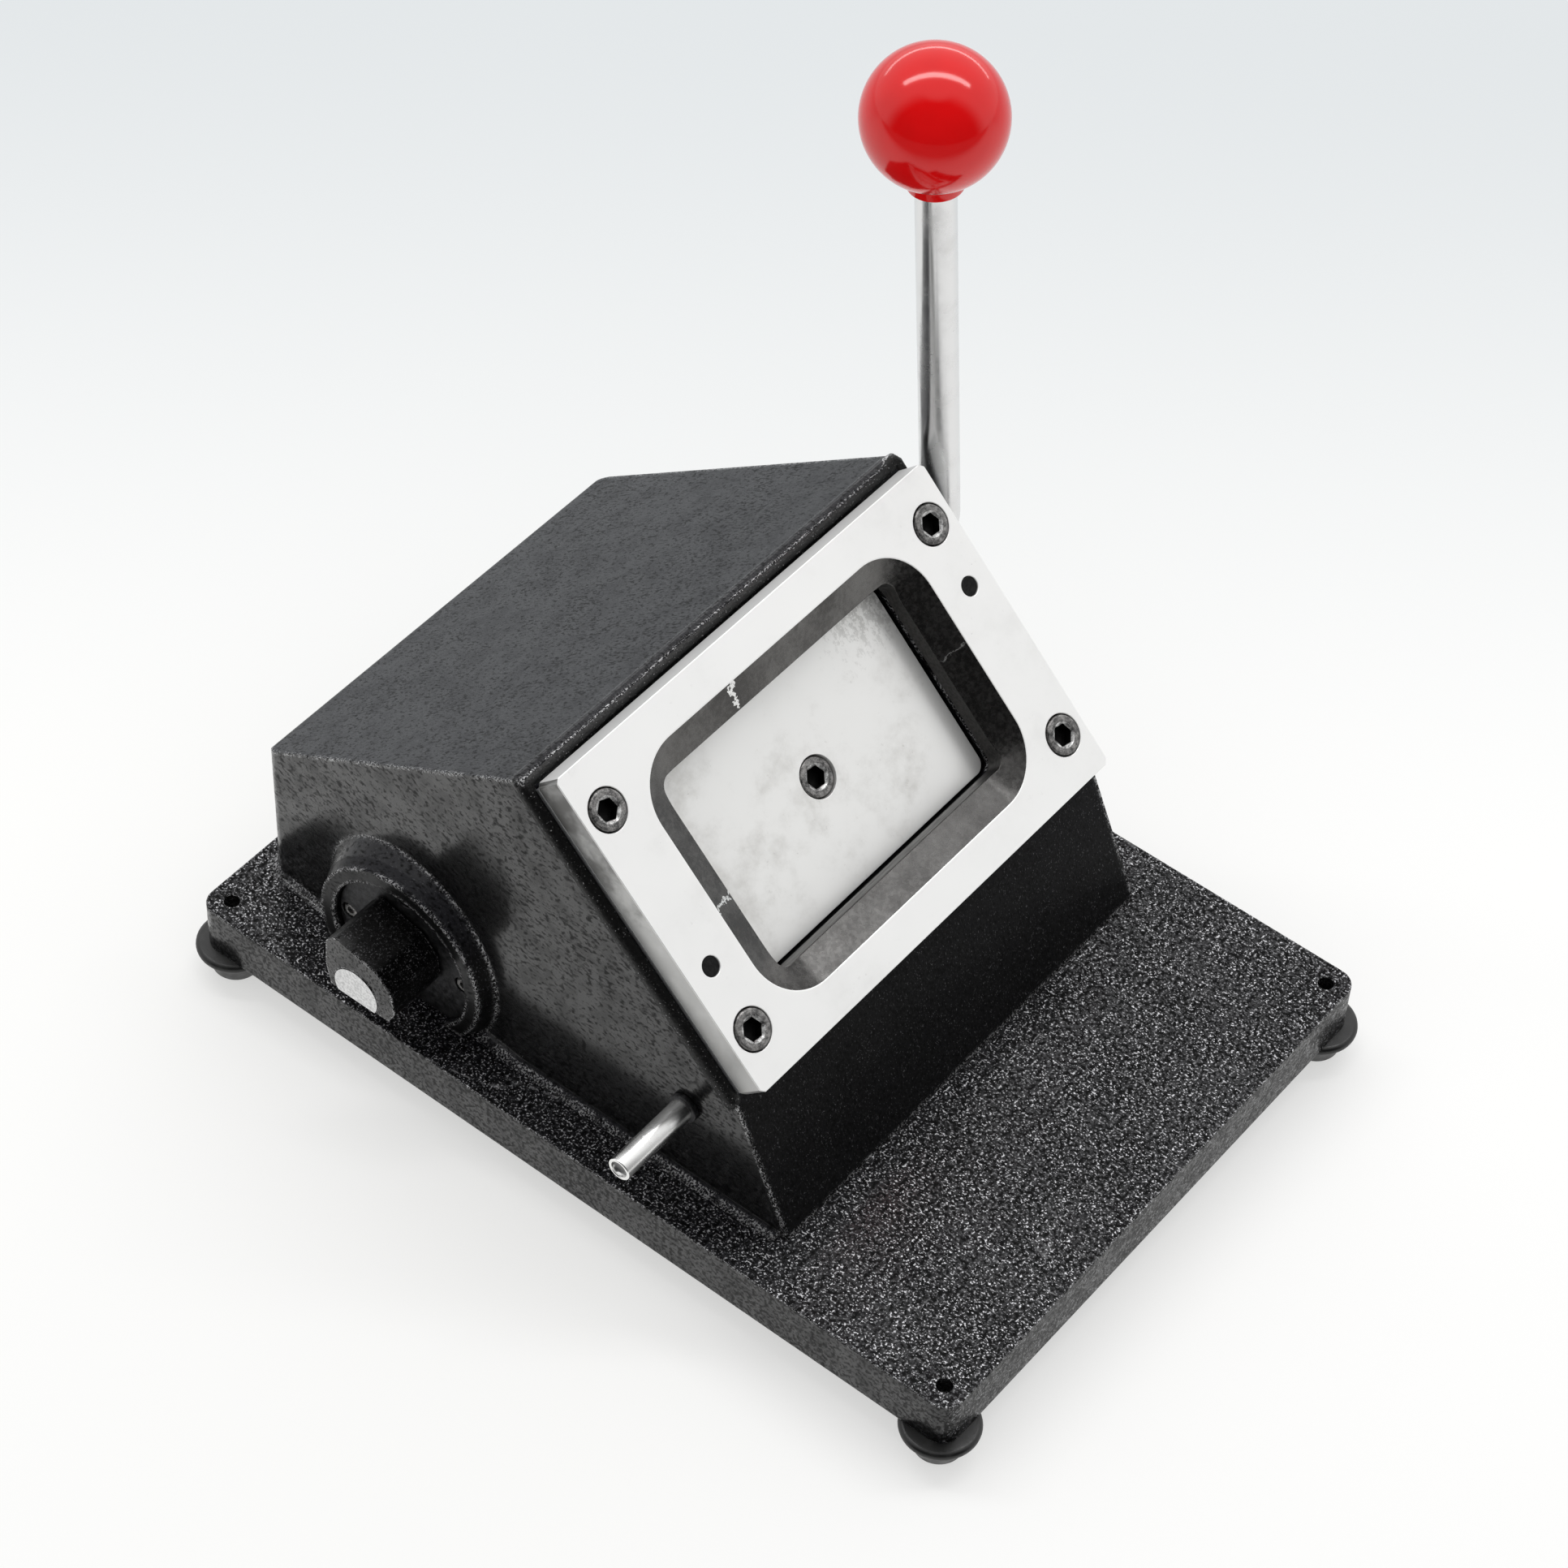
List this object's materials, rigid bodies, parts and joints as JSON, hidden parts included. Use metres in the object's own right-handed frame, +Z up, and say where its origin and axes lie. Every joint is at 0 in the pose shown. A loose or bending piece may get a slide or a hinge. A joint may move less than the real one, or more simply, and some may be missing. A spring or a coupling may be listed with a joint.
{
  "type": "card die cutting machine",
  "caption": "Hand press with a leaned die plate on a dark cast housing; a side lever with a ball knob turns a crank that pushes a guided punch through the die window.",
  "frame": {"origin": "On the table under the middle of the base plate.", "axes": "+X to the lever's side, +Y from the user to the back, +Z up."},
  "size_m": [0.19, 0.244, 0.2423],
  "materials": {
    "cast_black": "fine wrinkle paint on a casting, low sheen",
    "base_black": "black textured coat with small bright specks",
    "ground_steel": "ground bright",
    "plain_steel": "milled",
    "polished_steel": "polished",
    "black_oxide": "black oxide, worn edges",
    "dark_steel": "turned and blackened",
    "bronze": "bearing bronze, machined",
    "red_plastic": "glossy moulded",
    "black_rubber": "matt moulded"
  },
  "bodies": {
    "frame": {"base_plate": "base_black", "rubber_feet": "black_rubber", "foot_screws": "black_oxide", "housing": "cast_black", "housing_bolts": "black_oxide", "die_plate": "ground_steel", "spacer_strips": "plain_steel", "die_plate_screws": "black_oxide", "dowel_pins": "black_oxide", "guide_plate": "plain_steel", "guide_plate_screws": "black_oxide", "guide_pillars": "polished_steel", "shaft_bush_left": "bronze", "shaft_bush_right": "bronze", "bearing_cover_left": "dark_steel", "bearing_cover_right": "dark_steel", "cover_screws": "dark_steel", "side_peg": "polished_steel", "side_peg_collar": "black_oxide"},
    "ram_group": {"punch": "ground_steel", "punch_screw": "black_oxide", "punch_dowels": "polished_steel", "punch_carrier": "plain_steel", "pillar_bushes": "bronze", "ram": "plain_steel", "ram_screws": "black_oxide"},
    "crank_group": {"shaft_left": "polished_steel", "shaft_right": "polished_steel", "crank_pin": "polished_steel", "end_dog": "dark_steel", "end_dog_pin": "polished_steel", "lever_hub": "dark_steel", "hub_set_screw": "black_oxide", "lever_rod": "polished_steel", "ball_knob": "red_plastic"}
  },
  "joints": [
    {"name": "lever_turn", "type": "hinge", "parent": "frame", "child": "crank_group", "pos_m": [0, 0.05956, 0.04029], "axis": [1, 0, 0], "range_deg": [0, 60]},
    {"name": "ram_slide", "type": "slide", "parent": "frame", "child": "ram_group", "axis": [0, -0.7071, 0.7071], "range_m": [0, 0.00701]}
  ],
  "couplings": [
    {"joint": "ram_slide", "follows": "lever_turn", "m_per_rad": 0.0066845}
  ]
}
